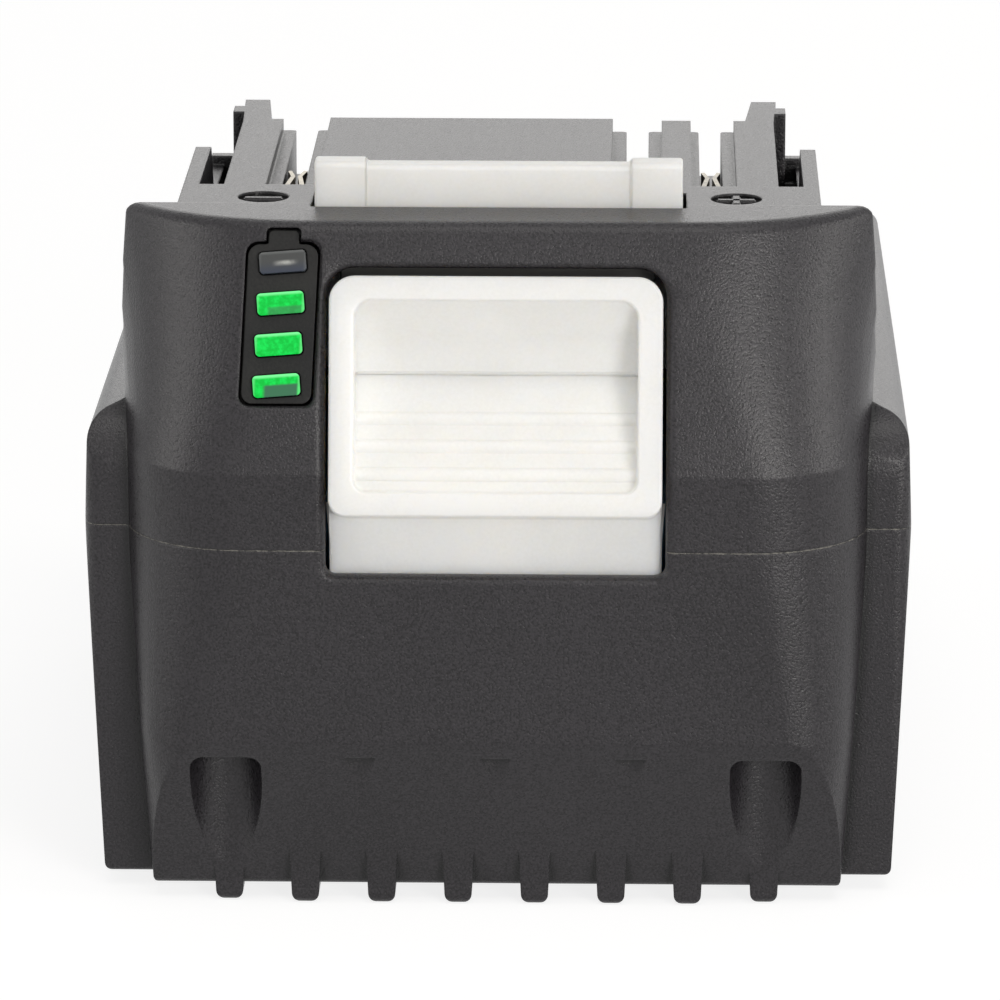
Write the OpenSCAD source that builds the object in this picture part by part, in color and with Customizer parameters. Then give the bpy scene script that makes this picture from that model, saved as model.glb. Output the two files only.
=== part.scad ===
// Slide-on battery pack for hand-held power tools, in millimetres.
// The front block with latch and gauge faces -Y, the foot ribs stand on Z = 0.

/* [Cells] */
// cell diameter over its sleeve
cell_d = 18.2; // [17.8:0.1:18.6]
// cell length
cell_l = 65.2; // [64:0.1:66.5]
// space between neighbouring cells
cell_gap = 0.7; // [0.6:0.1:1]
// depth of one cell holder along the cells
holder_depth = 11.4; // [10:0.2:14]
// plastic round the outermost cell sockets
holder_rim = 0.7; // [0.6:0.1:1]
// end web of a cell holder
holder_web = 0.8; // [0.6:0.1:1.2]
// thickness of the nickel strips
strip_t = 0.2; // [0.15:0.05:0.3]
// thickness of the insulating sheets
insulator_t = 0.4; // [0.2:0.1:0.6]

/* [Housing] */
// housing wall
wall = 2.4; // [2.2:0.1:2.8]
// height of the parting line
parting_z = 36.1; // [34:0.1:37]
// height of the foot ribs
rib_h = 1.55; // [1.2:0.05:2.4]
// width of a foot rib at its root
rib_w = 3.4; // [2.6:0.1:4]
// distance between foot ribs
rib_pitch = 7.3; // [6.6:0.1:7.6]
// front block ahead of the side walls
nose_l = 9.2; // [8.8:0.1:10.5]
// width of the front block at the parting line
nose_w = 70.6; // [68:0.1:71.6]
// corner radius of the front block
nose_r = 11.5; // [9:0.5:13]
// corner radius of the front block near its foot
nose_low_r = 6.5; // [5:0.5:8]
// height where the lower front starts to slope in
slope_z = 17.3; // [15:0.1:19]
// how far the lower front slopes in
slope_in = 5.8; // [4:0.1:6.4]
// height where the upper front starts to lean back
crease_z = 43.4; // [41:0.1:45]
// how far the upper front leans back
lean_in = 6.5; // [5:0.1:7]
// how far the side walls lean out up to the parting line
side_draft = 1.5; // [0.8:0.1:1.8]
// play between the cell block and the side walls
side_gap = 1.4; // [1.2:0.1:2]
// play between the cell block and the end walls
end_gap = 0.3; // [0.3:0.1:0.8]
// how far the rear wall leans in towards the floor
rear_draft = 0.2; // [0.1:0.1:0.6]
// radius of the front edge of the deck
shoulder_r = 7; // [3:0.5:8]
// radius of the rear edge of the deck
rear_top_r = 13.5; // [8:0.5:13.5]
// radius of the upright rear corners
rear_r = 7; // [5:0.5:7]
// space between the cell block and the deck
deck_gap = 3.15; // [2.4:0.05:3.6]

/* [Tool interface] */
// height of the interface above the deck
rail_h = 18; // [17:0.1:19]
// width over the outer rail walls
rail_w = 61; // [60:0.1:61.8]
// rear end of the rail platform
rail_end = 65.1; // [63:0.1:66]
// inner side of the rail channels, from the middle
channel_in = 26.6; // [26:0.1:27]
// width of the rail channels
channel_w = 2.4; // [2.2:0.1:2.7]
// depth of the rail channels
channel_depth = 7.7; // [7:0.1:8]
// place of the power contact slots, from the middle
power_x = 20.2; // [19.8:0.1:20.3]
// place of the signal contact slot, from the middle
signal_x = 13; // [12.8:0.1:13.2]
// width of a contact slot
slot_w = 2.2; // [2:0.1:2.4]
// depth of the contact slots
slot_depth = 6; // [5:0.1:6.6]
// how far the strips beside the slots lie below the top
strip_drop = 1.15; // [1:0.05:2.4]

/* [Latch] */
// travel of the release latch
latch_travel = 5; // [3:0.1:5.2]
// width of the thumb button
button_w = 31.2; // [29:0.1:32]
// height of the thumb button above the parting line
button_rise = 3.7; // [3.6:0.1:4.4]
// length of the thumb button along its face
button_l = 22.5; // [21:0.1:22.6]
// rim of the thumb button
button_rim = 2.3; // [1.8:0.1:3]
// depth of the thumb recess
recess_depth = 5.2; // [4.8:0.1:5.4]
// how far the hook bar stands above the interface
hook_h = 4.1; // [3:0.1:5]
// width of the hook bar
hook_w = 34.8; // [32:0.1:35]
// outer diameter of the latch spring
spring_d = 5; // [4.4:0.1:5.1]
// wire of the latch spring
spring_wire = 0.6; // [0.4:0.1:0.7]
// clearance of the sliding latch
latch_gap = 0.35; // [0.3:0.05:0.45]

/* [Gauge] */
// width of the gauge key
gauge_w = 6.6; // [6:0.1:7]
// height of the gauge key along the face
gauge_h = 15; // [14.4:0.1:15.2]
// depth of the gauge key below the face
gauge_sunk = 0.9; // [0.6:0.1:1.1]
// travel of the gauge key
gauge_travel = 0.4; // [0.2:0.05:0.4]
// land between the thumb button and the gauge key
gauge_land = 1.35; // [1.2:0.05:1.8]
// flange that keeps the gauge key in its opening
gauge_flange = 0.6; // [0.4:0.1:0.8]
// how far the top of the gauge key leans to the latch
gauge_skew = 0.33; // [0:0.03:0.4]
// turn of the windows in the gauge key
window_turn = 4.5; // [0:0.5:6]
// distance between the gauge windows
window_pitch = 3.86; // [3.6:0.02:3.9]
// clearance of the gauge key
gauge_gap = 0.2; // [0.2:0.05:0.3]

/* [Hidden] */
$fn = 48;
seat = 0.05;
columns = 5;
arc_steps = 10;
joint_gap = 0.15;

cell_pitch = cell_d + cell_gap;
holder_l = (columns - 1) * cell_pitch + cell_d + 2 * holder_rim;
holder_h = cell_pitch + cell_d + 2 * holder_rim;
holder_hw = cell_l / 2 + holder_web;
pack_l = nose_l + 2 * wall + 2 * end_gap + rear_draft + holder_l;
holder_r = cell_d / 2 + holder_rim;
base_hw = holder_hw + strip_t + insulator_t + side_gap + wall;
part_hw = base_hw + side_draft;
shoulder_hw = part_hw - 0.4;
deck_hw = shoulder_hw - 4.8;
floor_z = rib_h + wall;
holder_y = nose_l + wall + end_gap;
holder_z = floor_z + seat;
holder_top = holder_z + holder_h;
deck_z = holder_top + deck_gap + wall;
shoulder_z = deck_z - 1.8;
top_z = deck_z + rail_h;
lip_z = top_z + 0.15;
nose_back = 15;
channel_z = top_z - channel_depth;
slot_z = top_z - slot_depth;
low_z = top_z - strip_drop;
rail_hw = rail_w / 2;
block_in = channel_in - 4;
rail_stop = rail_end - 2.2;
slot_front = 24;
slot_back = 55.4;
slope_a = atan(slope_in / (slope_z - rib_h));
scoop_r = 3.4;
scoop_y = 1.5;
scoop_top = slope_z - 1.6;
polarity_d = 4.9;
polarity_x = hook_w / 2 + 5.1;
polarity_y = nose_back + 3.3;

// latch places
button_proud = 1.2;
button_z = parting_z + button_rise;
button_lean = 14;
button_top = button_z + button_l * cos(button_lean);
opening_hw = button_w / 2 + latch_gap;
opening_top = button_top + latch_gap;
opening_bottom = button_z - latch_travel - 1.2;
hook_front = nose_back - 1;
hook_back = hook_front + 6.4;
skirt_y = 1.8;
spring_y = holder_y - 3.7;
spring_low = 16;
spring_high = 33;
pocket_r = spring_d / 2 + 0.25;

// gauge places
gauge_x = -button_w / 2 - gauge_land - gauge_w / 2;
gauge_z = button_top - 4.46;
gauge_lean = front_lean(gauge_z);
gauge_key_top = gauge_h / 2;
guide_back = -4.5;
nub_t = 0.7;
window_w = 4.4;
window_h = 2.05;

// board places
board_z = holder_top + 3.5;
board_t = 1.6;
board_top = board_z + board_t;
board_y = 21.6;
board_hw = 26.5;
board_l = rail_end - wall - board_y - 1.3;
core_z = channel_z - wall;
chip_y = 11.4;
chip_l = 7;
chip_h = 1.3;
fet_w = 4.6;
fet_l = 6.5;
fet_h = 1.8;
fet_pitch = 5.6;
shunt_l = 3.2;
shunt_h = 0.9;
capacitor_r = 2.5;
capacitor_h = 5;
post_x = 24.6;
screw_x = 3 * rib_pitch;
screw_y = holder_y - 3.25;
screw_seat = 18;

y_mid = (pack_l - button_proud) / 2;

// outline helpers
function unit(v) = v / norm(v);

function corner(a, p, b, r) = r == 0 ? [p] : let (
    u = unit(a - p),
    v = unit(b - p),
    half = acos(u * v) / 2,
    c = p + unit(u + v) * (r / sin(half)),
    s = p + u * (r / tan(half)) - c,
    e = p + v * (r / tan(half)) - c,
    from = atan2(s[1], s[0]),
    turn = atan2(s[0] * e[1] - s[1] * e[0], s * e)
) [for (i = [0 : arc_steps]) c + r * [cos(from + turn * i / arc_steps), sin(from + turn * i / arc_steps)]];

function rounded(p, r) = [for (i = [0 : len(p) - 1])
    each corner(p[(i + len(p) - 1) % len(p)], p[i], p[(i + 1) % len(p)], r[i])];

function block(x0, y0, x1, y1) = [[x0, y0], [x1, y0], [x1, y1], [x0, y1]];

module box(x0, x1, y0, y1, z0, z1)
    translate([x0, y0, z0]) cube([x1 - x0, y1 - y0, z1 - z0]);

// a section in X and Z, drawn from y0 to y1
module along_y(y0, y1)
    translate([0, y1, 0]) rotate([90, 0, 0]) linear_extrude(y1 - y0) children();

// a side profile in Y and Z, drawn from x0 to x1
module along_x(x0, x1)
    translate([x0, 0, 0]) rotate([90, 0, 90]) linear_extrude(x1 - x0) children();

module both_sides() {
    children();
    mirror([1, 0, 0]) children();
}

// front block: how far it leans back, its width and its corners at a height
function lean_t(z) = max(0, (z - crease_z) / (lip_z - crease_z));
function front_y(z) = lean_in * (0.75 * lean_t(z) + 0.25 * lean_t(z) * lean_t(z));
function front_lean(z) = atan(lean_in * (0.75 + 0.5 * lean_t(z)) / (lip_z - crease_z));

// its wide corners end at the back of the block, at the width of the side there
function nose_plan(z, inset) = let (
    t = lean_t(z),
    r = nose_r + 10 * t,
    cut = max(0, r + front_y(z) - nose_back),
    hw = nose_w / 2 + 2 * t * (1 - t) + r - sqrt(r * r - cut * cut) - inset,
    f = front_y(z) + inset
) rounded([[-hw, 34], [-hw, f], [hw, f], [hw, 34]], [0, r - inset, r - inset, 0]);

// skin over rings of n points each, closed at both ends
function skin(n, rings) = concat(
    [[for (k = [0 : n - 1]) k]],
    sleeve(n, rings),
    [[for (k = [n - 1 : -1 : 0]) (rings - 1) * n + k]]);

function sleeve(n, rings) = [for (i = [0 : rings - 2]) each [for (k = [0 : n - 1]) each [
    [i * n + k, (i + 1) * n + k, (i + 1) * n + (k + 1) % n],
    [i * n + k, (i + 1) * n + (k + 1) % n, i * n + (k + 1) % n]]]];

module nose_upper(inset, bottom, top, edge) intersection() {
    rise = top - edge - crease_z;
    slices = concat([[bottom, 0]], [for (k = [0 : 0.25 : 0.75]) [crease_z + rise * k, 0]],
        [for (a = [0 : 22.5 : 90]) [top - edge + edge * sin(a), edge - edge * cos(a)]]);
    rings = [for (s = slices) [for (p = nose_plan(s[0], inset + s[1])) [p[0], p[1], s[0]]]];
    polyhedron([for (r = rings) each r], skin(len(rings[0]), len(rings)));
    box(-50, 50, -5, nose_back - inset, 0, 90);
}

// below the parting line the front block narrows and its corners tighten
function low_t(z) = max(0, (parting_z - z) / (parting_z - rib_h));

function low_plan(z, inset) = let (
    hw = nose_w / 2 - 2.4 * low_t(z) - inset,
    r = nose_r - (nose_r - nose_low_r) * min(1, low_t(z) / low_t(slope_z)) - inset
) rounded([[-hw, 26], [-hw, inset], [hw, inset], [hw, 26]], [0, r, r, 0]);

module nose_lower(inset, top) intersection() {
    low = rib_h + inset;
    slices = [[low, 0.5], [low + 0.2, 0.15], [low + 0.6, 0], [slope_z, 0], [parting_z, 0], [top, 0]];
    used = top > parting_z ? slices : [for (i = [0 : 4]) slices[i]];
    rings = [for (s = used) [for (p = low_plan(s[0], inset + s[1])) [p[0], p[1], s[0]]]];
    polyhedron([for (r = rings) each r], skin(len(rings[0]), len(rings)));
    along_x(-50, 50) polygon(rounded([
        [inset, top + 1],
        [inset, slope_z + inset * (1 / cos(slope_a) - 1) / tan(slope_a)],
        [slope_in + inset / cos(slope_a) - inset * tan(slope_a), low],
        [nose_back, low],
        [nose_back, top + 1]], [0, 1.4, 0.8, 0, 0]));
}

// cell compartment: section, side profile and plan cut one another
function soft(r, inset) = max(r - inset, 0.6);

function body_plan(inset) = rounded(
    block(-part_hw + inset, nose_l + inset, part_hw - inset, pack_l - inset),
    [soft(1.6, inset), soft(1.6, inset), soft(rear_r, inset), soft(rear_r, inset)]);

module body(inset) intersection() {
    along_y(nose_l + inset, pack_l - inset) polygon(rounded([
        [-base_hw + inset, rib_h + inset], [base_hw - inset, rib_h + inset],
        [part_hw - inset, parting_z], [shoulder_hw - inset, shoulder_z - inset * 0.7],
        [deck_hw - inset * 0.5, deck_z - inset], [-deck_hw + inset * 0.5, deck_z - inset],
        [-shoulder_hw + inset, shoulder_z - inset * 0.7], [-part_hw + inset, parting_z]],
        [soft(0.9, inset), soft(0.9, inset), 0, soft(3, inset), 4, 4, soft(3, inset), 0]));
    along_x(-50, 50) polygon(rounded([
        [nose_l + inset, rib_h + inset], [pack_l - rear_draft - inset, rib_h + inset],
        [pack_l - inset, parting_z - 5], [pack_l - 0.5 - inset, deck_z - inset],
        [nose_l + inset, deck_z - inset]],
        [soft(0.6, inset), soft(4, inset), 0, soft(rear_top_r, inset), soft(shoulder_r, inset)]));
    linear_extrude(90) polygon(body_plan(inset));
}

module plan_at_parting(inset) {
    polygon(nose_plan(parting_z, inset));
    polygon(body_plan(inset));
}

// foot ribs run up the sloped front and along the underside
module foot_rib(toe_z) intersection() {
    along_x(-rib_w, rib_w) polygon(rounded([
        [(slope_z - toe_z) * tan(slope_a), 0], [pack_l - 6, 0],
        [pack_l - 5, rib_h + 1], [(slope_z - toe_z) * tan(slope_a) + 2, rib_h + 1],
        [(slope_z - toe_z) * tan(slope_a) + 1, toe_z - 0.2],
        [(slope_z - toe_z) * tan(slope_a), toe_z]],
        [0.9, 0.9, 0, 0, 0, 0]));
    along_y(0, pack_l) polygon(rounded([
        [-rib_w / 2 + 0.45, 0], [rib_w / 2 - 0.45, 0], [rib_w / 2, rib_h + 8], [-rib_w / 2, rib_h + 8]],
        [1.1, 1.1, 0, 0]));
}

// lower shell
module scoop(grow, top) intersection() {
    translate([3.5 * rib_pitch, scoop_y, 0]) cylinder(r = scoop_r + grow, h = top);
    along_y(-5, scoop_y + scoop_r + grow + 1) polygon(rounded(block(3.5 * rib_pitch - scoop_r - grow, -1,
        3.5 * rib_pitch + scoop_r + grow, top), [0, 0, 1.3, 1.3]));
}

module boss_at(x, y, r, z0, z1)
    translate([x, y, z0]) cylinder(r = r, h = z1 - z0);

module snap_tab(y, grow) {
    box(part_hw - wall - 1.7 - grow, part_hw - wall - 0.5 + grow, y - 4 - grow, y + 4 + grow,
        parting_z - 6, parting_z + 5 + grow);
    box(part_hw - wall - 1.7, part_hw - wall + 0.6, y - 4, y + 4, parting_z - 6, parting_z - 1);
    along_y(y - 3 - grow, y + 3 + grow) polygon([
        [part_hw - wall - 0.6, parting_z + 2.6 - grow], [part_hw - wall + 0.5 + grow, parting_z + 2.9 - grow],
        [part_hw - wall + 0.5 + grow, parting_z + 3.5 + grow], [part_hw - wall - 0.6, parting_z + 5 + grow]]);
}

module lower_opening() {
    rings = [for (g = [[0, nose_l], [0, 0.9], [0.1, 0.5], [0.3, 0.2], [0.7, 0], [0.9, -0.1]])
        [for (p = rounded(block(-opening_hw - g[0], opening_bottom - g[0], opening_hw + g[0], parting_z + 6),
            [1 + g[0], 1 + g[0], 0, 0])) [p[0], g[1], p[1]]]];
    polyhedron([for (r = rings) each r], skin(len(rings[0]), len(rings)));
}

module lower_shell() color([0.2, 0.2, 0.21]) difference() {
    union() {
        difference() {
            union() {
                nose_lower(0, parting_z);
                intersection() {
                    body(0);
                    box(-50, 50, 0, 150, 0, parting_z);
                }
                for (i = [0.5 : 1 : 2.5]) both_sides() translate([i * rib_pitch, 0, 0]) foot_rib(rib_h + 3.9);
                both_sides() translate([3.5 * rib_pitch, 0, 0]) foot_rib(rib_h + 1.9);
            }
            difference() {
                union() {
                    nose_lower(wall, parting_z + 1);
                    body(wall);
                    box(-nose_w / 2 + wall + 1.7, nose_w / 2 - wall - 1.7, nose_l - 1, nose_back + 2,
                        floor_z, parting_z);
                }
                both_sides() scoop(1.9, scoop_top + 1.9);
                both_sides() boss_at(screw_x, screw_y, 3.2, 0, parting_z + 1);
            }
            both_sides() scoop(0, scoop_top);
            for (i = [-1 : 1]) translate([i * 12.8, -0.5, 0]) cylinder(r = 1.85, h = scoop_top);
        }
        translate([0, 0, parting_z - 1]) linear_extrude(2.2) difference() {
            plan_at_parting(wall / 2 + joint_gap);
            plan_at_parting(wall);
        }
        for (y = [32, pack_l - 22]) both_sides() snap_tab(y, 0);
        boss_at(0, spring_y, 2.9, rib_h + 0.5, spring_low);
        boss_at(0, spring_y, spring_d / 2 - spring_wire - 0.3, spring_low - 1, spring_low + 6);
    }
    both_sides() boss_at(screw_x, screw_y, 2.5, -1, screw_seat);
    both_sides() boss_at(screw_x, screw_y, 1.7, screw_seat - 1, parting_z + 4);
    lower_opening();
    box(-opening_hw - 0.2, opening_hw + 0.2, skirt_y - latch_gap, skirt_y + 4,
        spring_low + 6.4, parting_z);
}

// upper shell
module on_gauge()
    translate([gauge_x, front_y(gauge_z), gauge_z]) rotate([90 - gauge_lean, 0, 0]) children();

function gauge_lean_x(y) = gauge_skew * 2 * y / gauge_h;

function gauge_block(x0, y0, x1, y1) = [[x0 + gauge_lean_x(y0), y0], [x1 + gauge_lean_x(y0), y0],
    [x1 + gauge_lean_x(y1), y1], [x0 + gauge_lean_x(y1), y1]];

function gauge_ring(grow) = let (hw = gauge_w / 2 + grow, hh = gauge_h / 2 + grow)
    rounded(gauge_block(-hw, -hh, hw, hh), [1, 1, 1.2, 1.2]);

module gauge_outline(grow) polygon(gauge_ring(grow));

// bevelled edge of the gauge opening
module gauge_edge() {
    rings = [for (g = [[-0.7, gauge_gap - 0.1], [0.3, gauge_gap + 0.6], [1, gauge_gap + 0.6]])
        [for (p = gauge_ring(g[1])) [p[0], p[1], g[0]]]];
    polyhedron([for (r = rings) each r], skin(len(rings[0]), len(rings)));
}

module gauge_nub(grow)
    polygon(rounded(gauge_block(-1.45 - grow, 5, 1.45 + grow, gauge_key_top + 1.3 + grow), [0, 0, 0.5, 0.5]));

module gauge_flange_outline(grow)
    polygon(gauge_block(-gauge_w / 2 - gauge_flange - grow, -gauge_h / 2 - gauge_flange - grow,
        gauge_w / 2 + 0.2 + grow, gauge_h / 2 - 2 + grow));

module rails() {
    box(-rail_hw, rail_hw, nose_back - 1, rail_end, parting_z + 4, channel_z);
    box(-rail_hw, rail_hw, nose_back - 1, slot_front, channel_z - 1, top_z);
    // middle block, key rib and the low strips beside the slots
    box(-power_x + slot_w / 2 + 1.2, signal_x - slot_w / 2 - 1.4, slot_front - 1, slot_back + 0.8,
        slot_z - 3, top_z);
    box(signal_x + slot_w / 2 + 1.3, power_x - slot_w / 2 - 0.8, slot_front - 1, slot_back,
        slot_z - 3, top_z);
    box(-power_x - slot_w, power_x + slot_w, slot_front - 1, slot_back - 0.4, channel_z - 1, slot_z);
    low_strip(-power_x + slot_w / 2, -power_x + slot_w / 2 + 1.5);
    low_strip(signal_x - slot_w / 2 - 1.6, signal_x - slot_w / 2);
    low_strip(signal_x + slot_w / 2, signal_x + slot_w / 2 + 1.6);
    low_strip(power_x - slot_w / 2 - 1.2, power_x - slot_w / 2);
    both_sides() {
        low_strip(power_x + slot_w / 2, block_in + 0.2);
        difference() {
            union() {
                box(block_in, channel_in, slot_front - 1, slot_back, channel_z - 1, top_z);
                translate([0, 0, channel_z - 1]) linear_extrude(top_z - channel_z + 1) polygon([
                    [channel_in - 2.9, slot_back - 1], [channel_in, slot_back - 1],
                    [channel_in + 0.4, rail_end], [channel_in - 2.1, rail_end]]);
            }
            box(channel_in - 1.1, channel_in + 1, slot_front + 0.5, rail_end - 7.7,
                channel_z + 2, top_z - 2.6);
        }
        // stop lug at the rear end of the channel
        box(channel_in - 0.5, channel_in + 1.3, rail_stop - 4, rail_stop - 1, channel_z - 1, top_z);
        along_x(channel_in + channel_w, rail_hw) polygon(rounded([
            [nose_back - 1, channel_z - 1], [nose_back - 1, top_z], [slot_front + 18, top_z],
            [slot_front + 21.5, channel_z + 1.9], [rail_stop, channel_z + 1.6], [rail_stop, channel_z - 1]],
            [0, 0, 1.2, 1.5, 0, 0]));
        box(channel_in - 0.5, rail_hw - 0.2, rail_stop - 1.5, rail_stop, channel_z - 1, channel_z + 2.6);
    }
}

module low_strip(x0, x1)
    translate([0, 0, slot_z - 3]) linear_extrude(low_z - slot_z + 3) polygon(rounded(
        block(x0, slot_front - 1, x1, slot_back), [0, 0, 0.5, 0.5]));

module contact_slot(x) {
    box(x - slot_w / 2, x + slot_w / 2, slot_front, rail_end + 1, slot_z, top_z + 1);
    box(x - slot_w / 2, x + slot_w / 2, slot_front, slot_front + 19, core_z - 1, top_z + 1);
}

// the latch opening widens to a rolled edge at the leaning face
function opening_ring(grow, y, follow) = let (
    hw = opening_hw + grow,
    top = opening_top + grow,
    side = [parting_z - 1, crease_z, crease_z + 6, crease_z + 12],
    outline = concat([for (z = side) [hw, z]],
        corner([hw, parting_z], [hw, top], [-hw, top], 2.7 + grow),
        corner([hw, top], [-hw, top], [-hw, parting_z], 2.7 + grow),
        [for (i = [3 : -1 : 0]) [-hw, side[i]]])
) [for (p = outline) [p[0], y + follow * front_y(p[1]), p[1]]];

module latch_opening() {
    rings = [opening_ring(0, nose_l, 0), opening_ring(0, 1, 1), opening_ring(0.1, 0.55, 1),
        opening_ring(0.27, 0.27, 1), opening_ring(0.55, 0.08, 1), opening_ring(1.2, -0.1, 1),
        opening_ring(1.2, -3, 0)];
    n = len(rings[0]);
    last = n * (len(rings) - 1);
    polyhedron([for (r = rings) each r], concat(
        [for (k = [0 : n / 2 - 2]) [k, k + 1, n - 2 - k, n - 1 - k]],
        sleeve(n, len(rings)),
        [for (k = [0 : n / 2 - 2]) [last + n - 1 - k, last + n - 2 - k, last + k + 1, last + k]]));
}

module upper_shell() color([0.22, 0.22, 0.23]) difference() {
    union() {
        difference() {
            union() {
                nose_upper(0, parting_z, lip_z, 1);
                intersection() {
                    body(0);
                    box(-50, 50, 0, 150, parting_z, 90);
                }
                rails();
            }
            nose_upper(wall, parting_z - 1, lip_z - wall, 0.5);
            body(wall);
            box(-nose_w / 2 + wall, nose_w / 2 - wall, nose_l - 1, nose_back + 2,
                parting_z - 1, deck_z - wall);
            box(-rail_hw + wall, rail_hw - wall, nose_back - 4, rail_end - wall, deck_z - wall - 2, core_z);
            box(-hook_w / 2 - 0.8, hook_w / 2 + 0.8, nose_back - 5, hook_back + latch_gap + 0.5,
                deck_z - 4, opening_top);
            // coring of the middle block
            box(-power_x + slot_w / 2 + 3, signal_x - slot_w / 2 - 3.2, hook_back + 2.4, slot_back - 1.8,
                core_z - 1, top_z - 2);
            // rebate for the tongue of the lower shell
            translate([0, 0, parting_z - 1]) linear_extrude(2.4) plan_at_parting(wall / 2);
            for (y = [32, pack_l - 22]) both_sides() snap_tab(y, 0.2);
        }
        // beam over the latch
        box(-hook_w / 2 - 0.6, hook_w / 2 + 0.6, lean_in, hook_front - 0.6, opening_top, lip_z - wall + 0.2);
        both_sides() boss_at(screw_x, screw_y, 2.8, parting_z + joint_gap, crease_z + 0.8);
        both_sides() box(screw_x - 0.9, screw_x + 0.9, wall - 0.6, screw_y - 1.9,
            parting_z + 1.4, crease_z + 0.8);
        // cradle of the indicator board
        on_gauge() {
            box(-5.4, -4.45, -9.6, 6, -8, -2);
            box(-5.4, 3.2, -9.6, -8.8, -8, -2);
        }
    }
    both_sides() boss_at(screw_x, screw_y, 1.55, parting_z - 1, crease_z - 1.5);
    latch_opening();
    box(-hook_w / 2 - latch_gap, hook_w / 2 + latch_gap, hook_front - 0.65, hook_back + latch_gap,
        opening_top - 2, lip_z + 1);
    contact_slot(-power_x);
    contact_slot(signal_x);
    contact_slot(power_x);
    both_sides() translate([polarity_x, polarity_y, top_z - 0.6]) cylinder(d = polarity_d, h = 2);
    on_gauge() {
        translate([0, 0, -6]) linear_extrude(8) gauge_outline(gauge_gap);
        gauge_edge();
        translate([0, 0, -8]) linear_extrude(5 + gauge_gap) gauge_flange_outline(gauge_gap);
        translate([0, 0, -gauge_sunk - nub_t - gauge_travel - gauge_gap]) linear_extrude(5)
            gauge_nub(gauge_gap);
    }
}

// release latch
module on_button()
    translate([0, -button_proud, button_z]) rotate([90 - button_lean, 0, 0]) children();

function ridge_y(i) = 3.8 + 2.6 * i;
function ramp_z(y) = -1 - (recess_depth - 1) * (y - button_rim) / 11.9;

module release_latch() color([0.94, 0.94, 0.92]) difference() {
    union() {
        on_button() difference() {
            translate([0, 0, -7]) linear_extrude(7) polygon(rounded(
                block(-button_w / 2, 0, button_w / 2, button_l), [1.6, 1.6, 2.4, 2.4]));
            difference() {
                intersection() {
                    translate([0, 0, -6]) linear_extrude(8) polygon(rounded(
                        block(-button_w / 2 + button_rim, button_rim, button_w / 2 - button_rim,
                            button_l - button_rim), [1.2, 1.2, 1.6, 1.6]));
                    along_x(-20, 20) polygon(rounded([
                        [button_rim - 1, 3], [button_rim - 1, ramp_z(button_rim - 1)],
                        [14.4, -recess_depth], [button_l - button_rim + 0.1, -0.7],
                        [button_l - button_rim + 0.1, 3]], [0, 0, 5, 0, 0]));
                }
                for (i = [0 : 2]) translate([-20, ridge_y(i), ramp_z(ridge_y(i)) - 0.6]) rotate([0, 90, 0])
                    cylinder(r = 0.9, h = 40);
            }
        }
        box(-button_w / 2, button_w / 2, skirt_y, skirt_y + 2.2, spring_low + 11.8, button_z + 2);
        // web under the beam, with the upper stop
        box(-hook_w / 2 + 2.6, hook_w / 2 - 2.6, 6, hook_back, deck_z + 3.8, deck_z + 8.8);
        box(-hook_w / 2 + 2.6, hook_w / 2 - 2.6, 8.4, 12.6, deck_z + 3.8, opening_top - 0.3);
        along_x(-hook_w / 2, hook_w / 2) polygon(rounded([
            [hook_front, deck_z + 2.4], [hook_back, deck_z + 2.4], [hook_back, top_z + 0.2],
            [hook_front + 2.2, top_z + hook_h], [hook_front, top_z + hook_h]], [0, 0, 0, 0.8, 0.6]));
        both_sides() along_x(hook_w / 2 - 4.9, hook_w / 2) polygon(rounded([
            [hook_front - 0.3, deck_z + 2.4], [hook_front + 3, deck_z + 2.4],
            [hook_front + 3, top_z + hook_h + 0.3], [hook_front - 0.3, top_z + hook_h + 0.3]],
            [0, 0, 0.8, 0.6]));
        // spring pocket behind the skirt
        boss_at(0, spring_y, 3.4, spring_low + 9, crease_z - 4);
        box(-3.4, 3.4, skirt_y + 1, spring_y, spring_low + 9, crease_z);
    }
    boss_at(0, spring_y, pocket_r, 0, spring_high);
}

// latch spring: one wire swept along a helix
coils = 7;
rings = 8 * coils;
sides = 6;

module latch_spring() color([0.7, 0.7, 0.7]) {
    r = (spring_d - spring_wire) / 2;
    rise = spring_high - spring_low - spring_wire - 2 * seat;
    path = [for (i = [0 : rings]) [r * cos(45 * i), r * sin(45 * i),
        spring_low + spring_wire / 2 + seat + rise * i / rings]];
    points = [for (i = [0 : rings]) each [for (k = [0 : sides - 1])
        path[i] + spring_wire / 2 * (cos(60 * k) * [cos(45 * i), sin(45 * i), 0] + sin(60 * k) * [0, 0, 1])]];
    echo("gap between curls", rise / coils - spring_wire);
    translate([0, spring_y, 0]) polyhedron(points, skin(sides, rings + 1));
}

// charge gauge
module window_bar(grow)
    for (i = [-1.5 : 1 : 1.5]) translate([gauge_lean_x(i * window_pitch), i * window_pitch, 0])
        rotate(window_turn) polygon(rounded(block(-window_w / 2 - grow, -window_h / 2 - grow,
            window_w / 2 + grow, window_h / 2 + grow), [0.4, 0.4, 0.4, 0.4]));

module gauge_key() color([0.13, 0.13, 0.14]) on_gauge() difference() {
    union() {
        translate([0, 0, -3.4]) linear_extrude(3.4 - gauge_sunk) gauge_outline(0);
        translate([0, 0, -gauge_sunk - nub_t]) linear_extrude(nub_t) gauge_nub(0);
        translate([0, 0, -3.7]) linear_extrude(0.7) gauge_flange_outline(0);
    }
    translate([0, 0, -5]) linear_extrude(6) window_bar(0.06);
}

module gauge_light_guide() color([0.75, 0.9, 0.75]) on_gauge() {
    translate([0, 0, guide_back]) linear_extrude(0.7) polygon(block(-2.6, -7, 2.6, 7));
    translate([0, 0, -4]) linear_extrude(3.7) window_bar(0);
}

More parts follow.
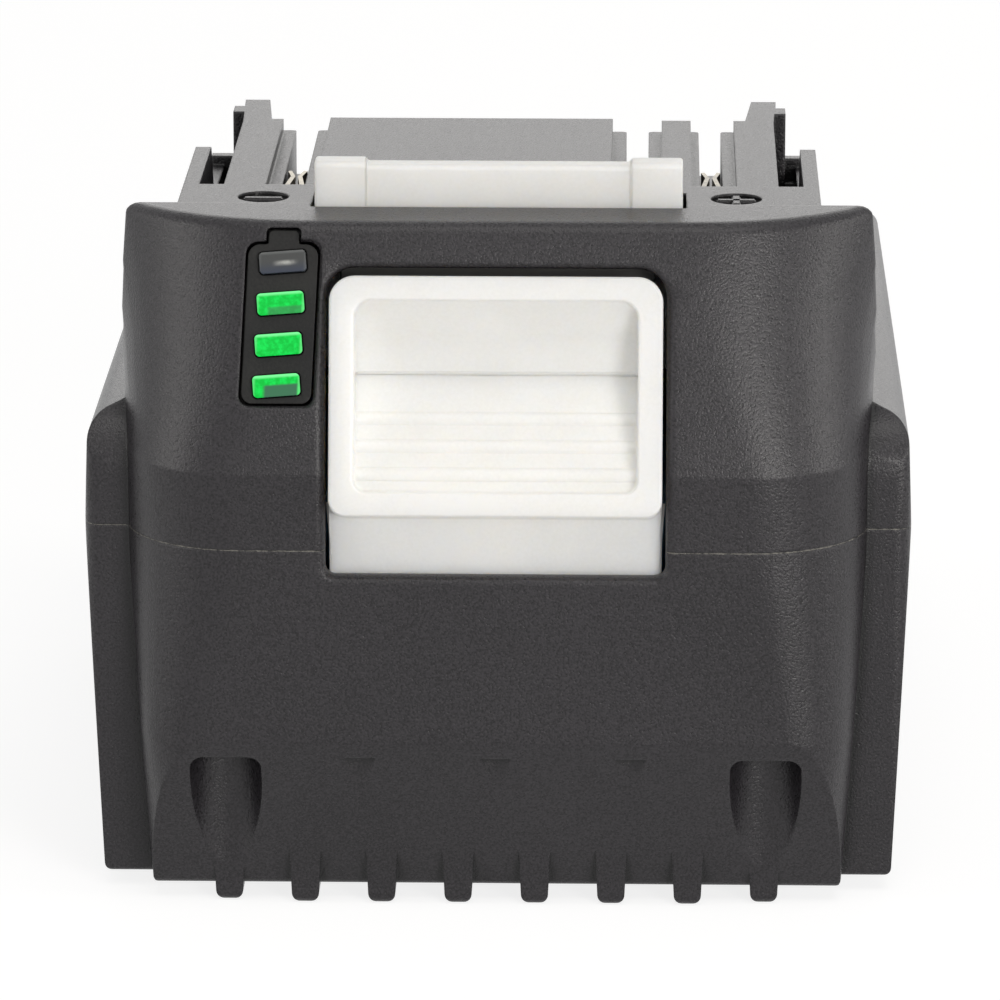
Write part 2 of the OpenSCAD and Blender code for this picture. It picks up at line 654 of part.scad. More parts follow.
module indicator_board() color([0.1, 0.35, 0.2]) on_gauge()
    box(-4.3, 3.2, -8.75, 6.5, -7.4, -6.6);

module indicator_lamps() color([0.95, 0.95, 0.8]) on_gauge()
    for (i = [-1.5 : 1 : 1.5]) box(-1, 1, i * window_pitch - 0.6, i * window_pitch + 0.6, -6.55, -5.8);

module gauge_switch() color([0.3, 0.3, 0.3]) on_gauge() {
    box(-1.5, 1.5, -1.1, 1.1, -6.55, -5.35);
    translate([0, 0, -5.6]) cylinder(d = 1.2, h = guide_back - gauge_travel - 0.1 + 5.6);
}

module indicator_cable() color([0.85, 0.85, 0.8]) {
    on_gauge() box(-3.4, 1.6, -8.4, -5.4, -7.75, -7.45);
    along_x(gauge_x - 3.3, gauge_x + 1.5) polygon([
        gauge_point(-8.2, -7.5), gauge_point(-7.6, -7.7),
        [board_y - 3.6, board_top + 0.35], [board_y + 2.4, board_top + 0.35],
        [board_y + 2.4, board_top + seat], [board_y - 3.7, board_top + seat]]);
}

function gauge_point(y, z) = [
    front_y(gauge_z) + y * sin(gauge_lean) - z * cos(gauge_lean),
    gauge_z + y * cos(gauge_lean) + z * sin(gauge_lean)];

// boards and contacts
module main_board() color([0.1, 0.35, 0.2]) difference() {
    box(-board_hw, board_hw, board_y, board_y + board_l, board_z, board_top);
    both_sides() for (y = board_screw_y()) boss_at(post_x, y, 1.1, board_z - 1, board_top + 1);
}

function board_screw_y() = [28.5, 57];

module on_board(x, y, w, l, h)
    box(x, x + w, board_y + y, board_y + y + l, board_top + seat, board_top + h);

module board_components() color([0.1, 0.1, 0.1]) {
    for (i = [0 : 3]) on_board(-13 + fet_pitch * i, board_l - 12.6, fet_w, fet_l, fet_h);
    on_board(-9, chip_y, chip_l, chip_l, chip_h);
    for (y = [chip_y - 3, chip_y + 2]) on_board(3, y, shunt_l, shunt_l / 2, shunt_h);
    boss_at(3 + shunt_l / 2, board_y + chip_y + chip_l + 2, capacitor_r, board_top + seat,
        board_top + capacitor_h);
}

module board_screws() color([0.75, 0.75, 0.76])
    both_sides() for (y = board_screw_y()) {
        boss_at(post_x, y, 0.8, board_top - 4.6, board_top + 0.4);
        boss_at(post_x, y, 1.7, board_top + seat, board_top + 1.2);
    }

module terminal(x) color([0.86, 0.83, 0.75]) translate([x, 0, 0]) {
    box(-2.4, 2.4, slot_front + 1.4, slot_front + 9, board_top + seat, board_top + 0.6);
    both_sides() translate([0, 0, board_top + 0.3]) linear_extrude(low_z - 0.6 - board_top) polygon([
        [0.95, slot_front + 1.4], [0.95, slot_front + 6.6], [0.55, slot_front + 10.6],
        [0.95, slot_front + 13], [0.6, slot_front + 13.2], [0.12, slot_front + 10.6],
        [0.5, slot_front + 6.4], [0.5, slot_front + 1.4]]);
}

module terminal_negative() terminal(-power_x);
module terminal_signal() terminal(signal_x);
module terminal_positive() terminal(power_x);

// cell block
function column_y(i) = holder_y + holder_rim + cell_d / 2 + i * cell_pitch;
function layer_z(j) = holder_z + holder_rim + cell_d / 2 + j * cell_pitch;

module block_outline(inset) {
    r = holder_r - inset;
    polygon(rounded(block(holder_y + inset, holder_z + inset, holder_y + holder_l - inset,
        holder_top - inset), [r, r, r, r]));
}

module cell_holder() difference() {
    union() {
        along_x(holder_hw - holder_depth, holder_hw) block_outline(0);
        for (y = board_screw_y()) boss_at(post_x, y, 1.9, holder_top - 0.3, board_z - seat);
    }
    for (i = [0 : columns - 1]) for (j = [0 : 1])
        translate([0, column_y(i), layer_z(j)]) rotate([0, 90, 0]) {
            cylinder(d = cell_d + 0.2, h = cell_l / 2 + seat);
            cylinder(d = 11, h = cell_l);
        }
    for (y = board_screw_y()) boss_at(post_x, y, 0.85, board_z - 3.4, board_z + 1);
}

module cell_holder_left() color([0.15, 0.15, 0.15]) mirror([1, 0, 0]) cell_holder();
module cell_holder_right() color([0.15, 0.15, 0.15]) cell_holder();

// one round cell with crimped neck and raised cap, positive end at +X for even columns
module cell(n) {
    i = floor((n - 1) / 2);
    j = (n - 1) % 2;
    r = cell_d / 2;
    color([0.2, 0.45, 0.65]) translate([0, column_y(i), layer_z(j)])
        rotate([0, i % 2 == 0 ? 90 : -90, 0]) translate([0, 0, -cell_l / 2]) rotate_extrude() polygon([
            [0, 0], [r - 0.6, 0], [r, 0.6], [r, cell_l - 4.6], [r - 0.9, cell_l - 4],
            [r - 0.9, cell_l - 3.4], [r, cell_l - 2.8], [r, cell_l - 1.4], [r - 0.6, cell_l - 0.8],
            [4.2, cell_l - 0.8], [4.2, cell_l], [0, cell_l]]);
}

// nickel strip over two columns with weld dimples and a tab to the main board
module bus_strip(first, last, tab_y, lane_x, riser_y) color([0.8, 0.79, 0.75]) {
    x0 = holder_hw + seat;
    z1 = holder_top + seat;
    box(x0, x0 + strip_t, column_y(first) - 7.2, column_y(last) + 7.2, layer_z(0) - 7.2, layer_z(1) + 7.2);
    for (i = [first : last]) for (j = [0 : 1])
        translate([cell_l / 2 + seat, column_y(i), layer_z(j)]) rotate([0, 90, 0])
            cylinder(d = 7, h = holder_web + seat);
    box(x0, x0 + strip_t, tab_y - 2, tab_y + 2, layer_z(1), z1 + strip_t);
    box(lane_x - 1, x0 + strip_t, tab_y - 2, tab_y + 2, z1, z1 + strip_t);
    box(lane_x - 1, lane_x + 1, min(riser_y, tab_y) - 0.4, max(riser_y, tab_y) + 0.4, z1, z1 + strip_t);
    box(lane_x - 1, lane_x + 1, riser_y - 0.4, riser_y - 0.4 + strip_t, z1, board_z - seat);
}

module bus_strip_negative() mirror([1, 0, 0]) bus_strip(0, 0, column_y(0) + 1, 24, column_y(0) + 2);
module bus_strip_1() bus_strip(0, 1, column_y(0) + cell_pitch / 2 + 4, 25, column_y(0) + cell_pitch / 2 + 5);
module bus_strip_2() mirror([1, 0, 0])
    bus_strip(1, 2, column_y(1) + cell_pitch / 2, 25, column_y(1) + cell_pitch / 2 + 1);
module bus_strip_3() bus_strip(2, 3, column_y(2) - 7, 25, column_y(2) - 8);
module bus_strip_4() mirror([1, 0, 0])
    bus_strip(3, 4, column_y(3), 24, board_y + board_l - 0.6);
module bus_strip_positive() bus_strip(4, 4, column_y(4), 24, board_y + board_l - 0.6);

module insulator()
    along_x(holder_hw + strip_t + 2 * seat, holder_hw + strip_t + 2 * seat + insulator_t)
        block_outline(1);

module insulator_left() color([0.85, 0.82, 0.7]) mirror([1, 0, 0]) insulator();
module insulator_right() color([0.85, 0.82, 0.7]) insulator();

// bead in the valley between two cells, leads up to the main board
module temperature_sensor() color([0.2, 0.2, 0.2]) {
    reach = cell_d / 2 + 1.5 + seat;
    z = layer_z(1) + sqrt(reach * reach - cell_pitch * cell_pitch / 4);
    y = column_y(1) + cell_pitch / 2;
    translate([0, y, z]) sphere(r = 1.5);
    for (x = [-0.8, 0.8]) boss_at(x, y, 0.3, z, board_z - seat);
}

module housing_screws() color([0.25, 0.25, 0.26]) both_sides() {
    boss_at(screw_x, screw_y, 1.5, screw_seat - 1, crease_z - 2.5);
    boss_at(screw_x, screw_y, 2.3, screw_seat - 2, screw_seat - seat);
}

module in_frame() translate([0, -y_mid, 0]) children();

in_frame() lower_shell();
in_frame() upper_shell();
in_frame() release_latch();
in_frame() latch_spring();
in_frame() gauge_key();
in_frame() gauge_light_guide();
in_frame() indicator_board();
in_frame() indicator_lamps();
in_frame() gauge_switch();
in_frame() indicator_cable();
in_frame() main_board();
in_frame() board_components();
in_frame() board_screws();
in_frame() terminal_negative();
in_frame() terminal_signal();
in_frame() terminal_positive();
in_frame() cell_holder_left();
in_frame() cell_holder_right();
for (n = [1 : 2 * columns])
    in_frame() cell(n);
in_frame() bus_strip_negative();
in_frame() bus_strip_1();
in_frame() bus_strip_2();
in_frame() bus_strip_3();
in_frame() bus_strip_4();
in_frame() bus_strip_positive();
in_frame() insulator_left();
in_frame() insulator_right();
in_frame() temperature_sensor();
in_frame() housing_screws();
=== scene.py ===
import math

import bmesh
import bpy
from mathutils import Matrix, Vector


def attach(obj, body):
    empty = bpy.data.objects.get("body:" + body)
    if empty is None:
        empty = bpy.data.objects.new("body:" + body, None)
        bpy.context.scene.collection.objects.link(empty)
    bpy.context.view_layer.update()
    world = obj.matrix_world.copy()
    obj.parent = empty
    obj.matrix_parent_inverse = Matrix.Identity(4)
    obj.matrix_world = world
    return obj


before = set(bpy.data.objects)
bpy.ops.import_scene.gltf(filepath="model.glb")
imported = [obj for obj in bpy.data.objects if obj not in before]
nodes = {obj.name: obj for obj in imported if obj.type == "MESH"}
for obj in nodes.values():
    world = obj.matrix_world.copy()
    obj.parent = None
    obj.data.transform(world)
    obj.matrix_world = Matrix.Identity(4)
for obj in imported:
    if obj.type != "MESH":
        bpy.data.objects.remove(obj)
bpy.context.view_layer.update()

MM = 0.001

# Camera
# A long lens a little above the pack and a hair to its right, as a catalogue
# picture is taken. Its place was worked out from the pack's own edges.
camera = bpy.data.objects.new("camera", bpy.data.cameras.new("camera"))
camera.data.sensor_width = 36
camera.data.lens = 239.4
camera.data.clip_start = 0.05
camera.location = (0.01461, -0.65468, 0.19982)
camera.rotation_euler = (math.radians(75.2), 0, math.radians(1.35))
bpy.context.scene.collection.objects.link(camera)
bpy.context.scene.camera = camera
bpy.context.scene.view_settings.view_transform = "Standard"


# Floor and light
# A pale paper sweep in a light tent: weak light from all round, a strong soft box
# right of the camera, one overhead, weak ones in front, at both sides and behind.
class Surface:
    """One socket of a material's nodes, so that shader maths reads as arithmetic."""

    def __init__(self, tree, socket=None):
        self.tree = tree
        self.socket = socket

    def node(self, kind, settings, links, out=0):
        made = self.tree.nodes.new(kind)
        for name, value in settings.items():
            setattr(made, name, value)
        for name, value in links.items():
            if isinstance(value, Surface):
                self.tree.links.new(value.socket, made.inputs[name])
            else:
                made.inputs[name].default_value = value
        return Surface(self.tree, made.outputs[out] if made.outputs else None)

    def math(self, operation, a, b=0.0):
        return self.node("ShaderNodeMath", {"operation": operation}, {0: a, 1: b})

    def __add__(self, other):
        return self.math("ADD", self, other)

    __radd__ = __add__

    def __sub__(self, other):
        return self.math("SUBTRACT", self, other)

    def __rsub__(self, other):
        return self.math("SUBTRACT", other, self)

    def __mul__(self, other):
        return self.math("MULTIPLY", self, other)

    __rmul__ = __mul__

    def __truediv__(self, other):
        return self.math("DIVIDE", self, other)

    def __lt__(self, other):
        return self.math("LESS_THAN", self, other)

    def __gt__(self, other):
        return self.math("GREATER_THAN", self, other)

    def __abs__(self):
        return self.math("ABSOLUTE", self)

    def between(self, low, high):
        """0 at low, 1 at high, smooth in between."""
        return self.node("ShaderNodeMapRange", {"interpolation_type": "SMOOTHSTEP"},
                         {"Value": self, "From Min": low, "From Max": high})

    def colour(self, first, second):
        """The first colour where this is 0, the second where it is 1."""
        links = {0: self, 6: first, 7: second}
        return self.node("ShaderNodeMix", {"data_type": "RGBA"}, links, 2)


def start_material(name):
    material = bpy.data.materials.new(name)
    material.use_nodes = True
    material.node_tree.nodes.clear()
    return material, Surface(material.node_tree)


def rays_that_see(surface):
    """1 for rays that show the paper as a picture: seen, mirrored or through glass."""
    seen = [surface.node("ShaderNodeLightPath", {}, {}, out)
            for out in ("Is Camera Ray", "Is Glossy Ray", "Is Transmission Ray")]
    return seen[0] + seen[1] + seen[2] > 0.5


def lay_floor():
    half, drop = 3.0, 0.02 * MM
    mesh = bpy.data.meshes.new("floor")
    corners = ((-half, -half), (half, -half), (half, half), (-half, half))
    mesh.from_pydata([(x, y, -drop) for x, y in corners], [], [(0, 1, 2, 3)])
    floor = bpy.data.objects.new("floor", mesh)
    bpy.context.scene.collection.objects.link(floor)
    material, paper = start_material("paper")
    bounce = paper.node("ShaderNodeBsdfDiffuse", {}, {"Color": (0.8, 0.8, 0.8, 1)})
    shaded = paper.node("ShaderNodeBsdfDiffuse", {}, {"Color": (0.3, 0.3, 0.3, 1)})
    glow = paper.node("ShaderNodeEmission", {}, {"Color": (0.82, 0.82, 0.82, 1), "Strength": 1.0})
    shown = paper.node("ShaderNodeAddShader", {}, {0: shaded, 1: glow})
    mixed = paper.node("ShaderNodeMixShader", {}, {0: rays_that_see(paper), 1: bounce, 2: shown})
    paper.node("ShaderNodeOutputMaterial", {}, {"Surface": mixed})
    mesh.materials.append(material)


def light_tent():
    world = bpy.data.worlds.new("tent")
    bpy.context.scene.world = world
    world.use_nodes = True
    world.node_tree.nodes.clear()
    tent = Surface(world.node_tree)
    white, fill = 1.0, 0.22
    level = rays_that_see(tent) * (white - fill) + fill
    glow = tent.node("ShaderNodeBackground", {}, {"Color": (1, 1, 1, 1), "Strength": level})
    tent.node("ShaderNodeOutputWorld", {}, {"Surface": glow})


def soft_box(name, place, target, size, watts):
    """A square lamp with a side of the given size, turned from its place to a target."""
    light = bpy.data.lights.new(name, "AREA")
    light.shape = "SQUARE"
    light.size = size
    light.energy = watts
    light.color = (1.0, 0.975, 0.94)
    lamp = bpy.data.objects.new(name, light)
    lamp.location = place
    lamp.rotation_euler = (Vector(target) - Vector(place)).to_track_quat("-Z", "Y").to_euler()
    bpy.context.scene.collection.objects.link(lamp)


lay_floor()
light_tent()
soft_box("soft_box_key", (0.47, -0.88, 0.22), (0, -0.03, 0.05), 0.30, 4.1)
soft_box("soft_box_above", (0.12, -0.42, 0.92), (0, -0.02, 0.05), 0.55, 2.5)
soft_box("soft_box_front", (-0.12, -0.95, 0.42), (0, -0.03, 0.05), 0.5, 0.4)
soft_box("soft_box_left", (-0.90, -0.28, 0.30), (0, -0.03, 0.05), 0.4, 2.0)
soft_box("soft_box_right", (0.95, -0.20, 0.25), (0, -0.03, 0.05), 0.25, 2.0)
soft_box("soft_box_behind", (0.10, 0.80, 0.42), (0, 0, 0.05), 0.8, 1.4)


# Housing
# Two half shells of glass-filled polyamide, injection moulded in spark-eroded
# moulds and closed by screws from below and snap tabs inside the parting line.
def smooth_below(name, angle, crease=0):
    """Modifier nodes that smooth edges flatter than the angle, apart from a crease at a height."""
    group = bpy.data.node_groups.new(name, "GeometryNodeTree")
    group.interface.new_socket("Geometry", in_out="INPUT", socket_type="NodeSocketGeometry")
    group.interface.new_socket("Geometry", in_out="OUTPUT", socket_type="NodeSocketGeometry")
    entry = group.nodes.new("NodeGroupInput")
    strip = group.nodes.new("GeometryNodeRemoveAttribute")
    strip.inputs["Name"].default_value = "custom_normal"
    faces = group.nodes.new("GeometryNodeSetShadeSmooth")
    edges = group.nodes.new("GeometryNodeSetShadeSmooth")
    edges.domain = "EDGE"
    bend = group.nodes.new("GeometryNodeInputMeshEdgeAngle")
    flat = group.nodes.new("FunctionNodeCompare")
    flat.operation = "LESS_THAN"
    flat.inputs[1].default_value = angle
    leave = group.nodes.new("NodeGroupOutput")
    group.links.new(entry.outputs[0], strip.inputs[0])
    group.links.new(strip.outputs[0], faces.inputs[0])
    group.links.new(faces.outputs[0], edges.inputs[0])
    group.links.new(bend.outputs[0], flat.inputs[0])
    smooth = flat
    if crease:
        slack, least_fold = 0.02 * MM, math.radians(6)
        place = group.nodes.new("GeometryNodeInputPosition")
        height = group.nodes.new("ShaderNodeSeparateXYZ")
        at_crease = group.nodes.new("FunctionNodeCompare")
        at_crease.operation = "EQUAL"
        at_crease.inputs["Epsilon"].default_value = slack
        at_crease.inputs[1].default_value = crease
        folded = group.nodes.new("FunctionNodeCompare")
        folded.operation = "GREATER_THAN"
        folded.inputs[1].default_value = least_fold
        kept = group.nodes.new("FunctionNodeBooleanMath")
        kept.operation = "AND"
        smooth = group.nodes.new("FunctionNodeBooleanMath")
        smooth.operation = "NIMPLY"
        group.links.new(place.outputs[0], height.inputs[0])
        group.links.new(height.outputs["Z"], at_crease.inputs[0])
        group.links.new(bend.outputs[0], folded.inputs[0])
        group.links.new(at_crease.outputs[0], kept.inputs[0])
        group.links.new(folded.outputs[0], kept.inputs[1])
        group.links.new(flat.outputs[0], smooth.inputs[0])
        group.links.new(kept.outputs[0], smooth.inputs[1])
    group.links.new(smooth.outputs[0], edges.inputs["Shade Smooth"])
    group.links.new(edges.outputs[0], leave.inputs[0])
    return group


smooth_up_to, front_crease = math.radians(28), 43.4 * MM
smooth_flat_edges = smooth_below("smooth_flat_edges", smooth_up_to)
smooth_with_crease = smooth_below("smooth_with_crease", smooth_up_to, front_crease)


def soften(name, width=0, steps=2, sharp=math.radians(30), smoothing=smooth_flat_edges):
    """Smooths the curves of a CAD node and breaks its sharp edges by a small radius."""
    weld = nodes[name].modifiers.new("weld", "WELD")
    weld.merge_threshold = 0.002 * MM
    if width:
        flat = nodes[name].modifiers.new("flat", "DECIMATE")
        flat.decimate_type = "DISSOLVE"
        flat.angle_limit = math.radians(0.5)
        edge = nodes[name].modifiers.new("edge", "BEVEL")
        edge.width = width
        edge.segments = steps
        edge.limit_method = "ANGLE"
        edge.angle_limit = sharp
        edge.use_clamp_overlap = False
        edge.loop_slide = False
        edge.miter_outer = "MITER_ARC"
    shade = nodes[name].modifiers.new("shade", "NODES")
    shade.node_group = smoothing
    even = nodes[name].modifiers.new("even", "WEIGHTED_NORMAL")
    even.keep_sharp = True


def dress(names, material):
    for name in names:
        nodes[name].data.materials.clear()
        nodes[name].data.materials.append(material)


def spark_eroded():
    """Dark polyamide with eroded grain, rounded edges, painted shade in corners and hollows, a painted
    shadow line along the parting line and flash on it.
    """
    material, plastic = start_material("spark_eroded_plastic")
    place = plastic.node("ShaderNodeTexCoord", {}, {}, "Object")
    parting_line, seam_shadow_half, flash_half = 36.1 * MM, 0.09 * MM, 0.3 * MM
    dark, pale = (0.008, 0.0071, 0.0084, 1), (0.030, 0.0273, 0.0312, 1)
    hollow_shade, shade, bare = (0.002, 0.0018, 0.002, 1), (0.012, 0.011, 0.012, 1), (0.17, 0.162, 0.145, 1)
    grain = plastic.node("ShaderNodeTexNoise", {}, {
        "Vector": place, "Scale": 4600, "Detail": 2, "Roughness": 0.55})
    cloud = plastic.node("ShaderNodeTexNoise", {}, {"Vector": place, "Scale": 45, "Detail": 2})
    worn = plastic.node("ShaderNodeTexNoise", {}, {
        "Vector": place, "Scale": 1500, "Detail": 4, "Roughness": 0.7})
    # Painted shade: the base colour goes near black in corners and hollows, where the AO node finds
    # close surfaces.
    open_air = plastic.node("ShaderNodeAmbientOcclusion", {"samples": 8, "only_local": True},
                            {"Distance": 1.8 * MM}, "AO")
    height = plastic.node("ShaderNodeSeparateXYZ", {}, {"Vector": place}, "Z")
    off_seam = abs(height - parting_line)
    # Painted shadow: a thin dark line along the parting line, where the two shells meet flush without a
    # gap.
    seam_shadow = off_seam < seam_shadow_half
    flash = off_seam < (worn - 0.36) * flash_half
    tone = (grain * 0.85 + cloud * 0.15).between(0.34, 0.66)
    body = tone.colour(dark, pale)
    with_hollow_shade = open_air.between(0.55, 0.95).colour(hollow_shade, body)
    seam_shadowed = seam_shadow.colour(with_hollow_shade, shade)
    edge = plastic.node("ShaderNodeBevel", {"samples": 6}, {"Radius": 0.4 * MM})
    bump = plastic.node("ShaderNodeBump", {}, {
        "Strength": 0.8, "Distance": 0.08 * MM, "Height": grain, "Normal": edge})
    shader = plastic.node("ShaderNodeBsdfPrincipled", {}, {
        "Base Color": flash.colour(seam_shadowed, bare),
        "Roughness": grain * 0.2 + 0.2,
        "Specular IOR Level": 0.36,
        "Normal": bump})
    plastic.node("ShaderNodeOutputMaterial", {}, {"Surface": shader})
    return material


soften("lower_shell")
soften("upper_shell", smoothing=smooth_with_crease)
housing_plastic = spark_eroded()
dress(("lower_shell", "upper_shell"), housing_plastic)


# Polarity marks
# Raised bars moulded in one with the upper shell, inside two round recesses of
# the interface: a minus on the left, a plus on the right.
def polarity_bars(name, x, upright):
    mesh = bpy.data.meshes.new(name)
    build = bmesh.new()
    long, wide, tall = 3.7 * MM, 0.85 * MM, 0.58 * MM
    recess_y, recess_floor, sunk = -36.1 * MM, 65.45 * MM, 0.02 * MM
    sizes = [(long, wide)] + ([(wide, long)] if upright else [])
    for across, deep in sizes:
        made = bmesh.ops.create_cube(build, size=1)
        bmesh.ops.scale(build, vec=(across, deep, tall), verts=made["verts"])
    bmesh.ops.bevel(build, geom=build.edges[:], offset=0.12 * MM, segments=2, affect="EDGES")
    build.to_mesh(mesh)
    build.free()
    bars = bpy.data.objects.new(name, mesh)
    bars.location = (x, recess_y, recess_floor + tall / 2 - sunk)
    bpy.context.scene.collection.objects.link(bars)
    mesh.materials.append(housing_plastic)
    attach(bars, "housing")


polarity_bars("polarity_minus", -22.5 * MM, False)
polarity_bars("polarity_plus", 22.5 * MM, True)


# Release latch
# One piece of off-white acetal: thumb button with a ribbed recess, skirt, and
# the hook bar that stands up through the interface; it slides in the upper shell.
def latch_acetal():
    """Off-white resin that light enters a little; its neck inside the shell is painted near black as
    shade, so the gap above the button reads as shadow.
    """
    material, resin = start_material("latch_acetal")
    place = resin.node("ShaderNodeTexCoord", {}, {}, "Object")
    y = resin.node("ShaderNodeSeparateXYZ", {}, {"Vector": place}, "Y")
    z = resin.node("ShaderNodeSeparateXYZ", {}, {"Vector": place}, "Z")
    grain = resin.node("ShaderNodeTexNoise", {}, {"Vector": place, "Scale": 3000, "Detail": 3})
    cloud = resin.node("ShaderNodeTexNoise", {}, {"Vector": place, "Scale": 120, "Detail": 2})
    tone = (grain * 0.4 + cloud * 0.6).between(0.35, 0.65)
    neck_front, neck_back, neck_low, neck_high = -49.2 * MM, -48.6 * MM, 60.2 * MM, 64.5 * MM
    # Painted shade: the neck behind the shell's edge is coloured near black, so the gap above the
    # button reads as shadow.
    painted_neck_shade = y.between(neck_front, neck_back) * (z > neck_low) * (z < neck_high)
    pale = tone.colour((0.86, 0.855, 0.83, 1), (0.90, 0.895, 0.875, 1))
    bump = resin.node("ShaderNodeBump", {}, {"Strength": 0.5, "Distance": 0.01 * MM, "Height": grain})
    shader = resin.node("ShaderNodeBsdfPrincipled", {}, {
        "Base Color": painted_neck_shade.colour(pale, (0.03, 0.028, 0.025, 1)),
        "Roughness": cloud * 0.16 + 0.36,
        "Subsurface Weight": 0.7,
        "Subsurface Scale": 4 * MM,
        "Subsurface Radius": (1.0, 0.9, 0.75),
        "Normal": bump})
    resin.node("ShaderNodeOutputMaterial", {}, {"Surface": shader})
    return material


soften("release_latch", 0.3 * MM, 3, math.radians(58))
dress(("release_latch",), latch_acetal())


# Latch spring
# A compression spring of drawn steel wire between a post in the lower shell and
# the pocket behind the latch's skirt.
def grained(name, deep, pale, scale, rough, relief, **sockets):
    """A moulded or rolled finish: two tones, uneven gloss and a fine relief."""
    material, finish = start_material(name)
    place = finish.node("ShaderNodeTexCoord", {}, {}, "Object")
    grain = finish.node("ShaderNodeTexNoise", {}, {"Vector": place, "Scale": scale, "Detail": 3})
    cloud = finish.node("ShaderNodeTexNoise", {}, {"Vector": place, "Scale": scale / 24, "Detail": 2})
    tone = (grain * 0.4 + cloud * 0.6).between(0.35, 0.65)
    bump = finish.node("ShaderNodeBump", {}, {"Strength": 0.5, "Distance": relief, "Height": grain})
    links = {
        "Base Color": tone.colour(deep, pale),
        "Roughness": cloud * 0.16 + (rough - 0.08),
        "Normal": bump}
    links.update({key.replace("_", " "): value for key, value in sockets.items()})
    shader = finish.node("ShaderNodeBsdfPrincipled", {}, links)
    finish.node("ShaderNodeOutputMaterial", {}, {"Surface": shader})
    return material


soften("latch_spring")
wire_steel = grained("wire_steel", (0.42, 0.42, 0.43, 1), (0.6, 0.6, 0.61, 1),
                     2500, 0.34, 0.004 * MM, Metallic=1.0)
dress(("latch_spring",), wire_steel)

# Charge gauge
# A satin black key with four windows; a clear light guide behind it carries the
# light of four lamps to the face. Three windows are lit green, the top one is off.
soften("gauge_key", 0.12 * MM)
dress(("gauge_key",), grained("gauge_key_plastic", (0.004, 0.004, 0.0042, 1), (0.014, 0.0138, 0.013, 1),
                              3600, 0.5, 0.05 * MM, Specular_IOR_Level=0.25))


def lit_windows():
    """Clear resin: counted from below, windows 0 to 2 glow green and window 3 is off; painted
    highlights on their rims and a streak on window 3, painted reflections low on windows 0 and 2.
    """
    material, guide = start_material("light_guide_resin")
    place = guide.node("ShaderNodeTexCoord", {}, {}, "Object")
    x = guide.node("ShaderNodeSeparateXYZ", {}, {"Vector": place}, "X")
    y = guide.node("ShaderNodeSeparateXYZ", {}, {"Vector": place}, "Y")
    z = guide.node("ShaderNodeSeparateXYZ", {}, {"Vector": place}, "Z")
    lean, turn = math.radians(16.69), math.radians(4.5)
    pitch, half_h, half_w, skew, skin = 3.86 * MM, 1.03 * MM, 2.2 * MM, 0.044, 0.6 * MM
    from_left, back, up = x + 20.25 * MM, y + 50.86 * MM, z - 57.17 * MM
    up_face = back * math.sin(lean) + up * math.cos(lean)
    depth = up * math.sin(lean) - back * math.cos(lean)
    count = (up_face - from_left * math.tan(turn)) / pitch + 2
    level = (count.math("FRACT", count) - 0.5) * (pitch / half_h)
    across = (from_left - up_face * skew) / half_w
    lit = (count < 3) * (depth > -skin)
    cloud = guide.node("ShaderNodeTexNoise", {}, {"Vector": place, "Scale": 2200, "Detail": 3})
    # Painted highlight: pale bright green along the top edge and sides of each lit window, and a
    # half-strength pale rim on the unlit one.
    top_highlight = level.between(0.62, 0.9)
    rim_highlight = top_highlight.math("MAXIMUM", top_highlight, abs(across).between(0.86, 0.97) * 0.45)
    body = cloud.between(0.35, 0.72).colour((0.0, 0.54, 0.045, 1), (0.005, 0.80, 0.09, 1))
    # Painted reflection: a dull grey-green band across the lower part of windows 0 and 2.
    reflection_band = (count < 1) * level.between(0.2, -0.05) + (count > 2) * level.between(-0.2, -0.45) * 0.6
    inner = across.between(-0.62, -0.42) * across.between(0.97, 0.86)
    with_reflection = (reflection_band * inner).colour(body, (0.05, 0.15, 0.085, 1))
    green = rim_highlight.colour(with_reflection, (0.22, 0.98, 0.34, 1))
    middle = across.between(-0.5, 0.1) * across.between(0.75, 0.1)
    # Painted highlight: a pale streak across the middle of the unlit window.
    streak_highlight = abs(level + 0.12).between(0.34, 0.0) * middle * cloud
    grey = level.between(-1.0, 0.2).colour((0.055, 0.064, 0.088, 1), (0.075, 0.078, 0.078, 1))
    off = (rim_highlight * 0.5).colour(streak_highlight.colour(grey, (0.75, 0.76, 0.72, 1)), (0.2, 0.21, 0.21, 1))
    shader = guide.node("ShaderNodeBsdfPrincipled", {}, {
        "Base Color": lit.colour(off, (0.002, 0.03, 0.008, 1)),
        "Roughness": cloud * 0.1 + 0.2,
        "Specular IOR Level": 0.12,
        "Emission Color": lit.colour((0, 0, 0, 1), green),
        "Emission Strength": 1.0})
    guide.node("ShaderNodeOutputMaterial", {}, {"Surface": shader})
    return material


soften("gauge_light_guide", 0.15 * MM)
dress(("gauge_light_guide",), lit_windows())

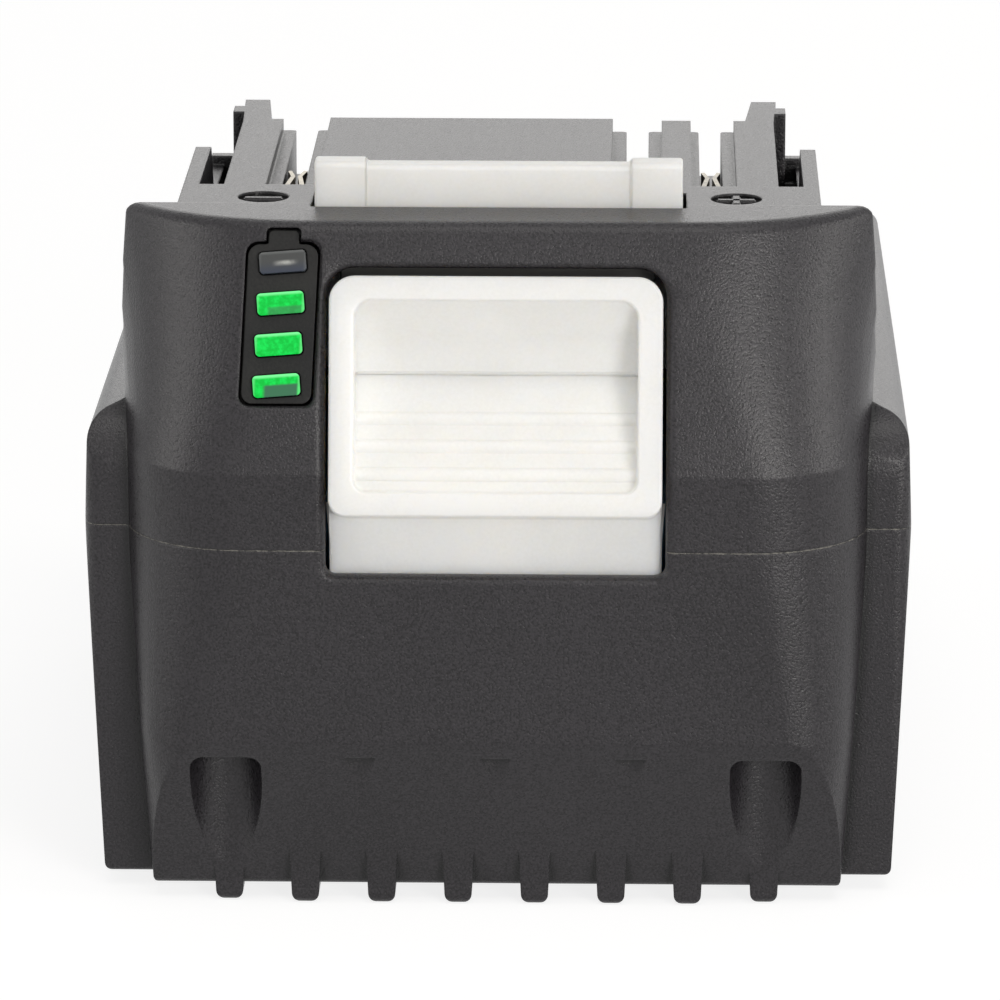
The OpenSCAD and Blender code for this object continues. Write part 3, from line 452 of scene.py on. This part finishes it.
# Gauge electronics
# A small board with four lamps and a push switch in a cradle behind the key, and
# a flat film cable from it to the main board.
board_green = grained("solder_mask", (0.012, 0.10, 0.035, 1), (0.025, 0.17, 0.06, 1),
                      1800, 0.4, 0.008 * MM)
moulded_black = grained("moulded_black", (0.012, 0.012, 0.013, 1), (0.03, 0.03, 0.03, 1),
                        2600, 0.55, 0.01 * MM)
dress(("indicator_board",), board_green)
dress(("indicator_lamps",), grained("lamp_resin", (0.75, 0.73, 0.5, 1), (0.86, 0.84, 0.62, 1),
                                    1500, 0.25, 0.004 * MM))
dress(("gauge_switch",), moulded_black)
dress(("indicator_cable",), grained("cable_film", (0.62, 0.61, 0.55, 1), (0.74, 0.73, 0.67, 1),
                                    1600, 0.4, 0.004 * MM))

# Main board
# A glass-fibre board with the protection circuit, screwed to posts of the two
# cell holders; packages and a capacitor are soldered on it.
dress(("main_board",), board_green)
dress(("board_components", "temperature_sensor"), moulded_black)
dress(("board_screws", "housing_screws"), wire_steel)

# Contacts
# Forked springs of nickel-plated bronze strip, soldered to the main board; their
# lips stand in the slots of the interface and grip the tool's blades.
nickel = grained("nickel_plate", (0.07, 0.06, 0.045, 1), (0.40, 0.36, 0.28, 1),
                 2200, 0.3, 0.006 * MM, Metallic=1.0)
dress(("terminal_negative", "terminal_signal", "terminal_positive"), nickel)

# Cell block
# Ten round cells in shrink sleeves between two moulded holders, joined by spot
# welded nickel strips, with a fibre sheet over the strips on each side.
for name in nodes:
    if name.startswith("cell_holder"):
        dress((name,), moulded_black)
    elif name.startswith("bus_strip"):
        dress((name,), nickel)
sleeve = grained("shrink_sleeve", (0.05, 0.17, 0.30, 1), (0.08, 0.24, 0.40, 1), 900, 0.35, 0.02 * MM)
for number in range(1, 11):
    soften(f"cell_{number}")
    dress((f"cell_{number}",), sleeve)
fibre_sheet = grained("fibre_sheet", (0.55, 0.50, 0.33, 1), (0.70, 0.65, 0.46, 1), 1500, 0.7, 0.02 * MM)
dress(("insulator_left", "insulator_right"), fibre_sheet)
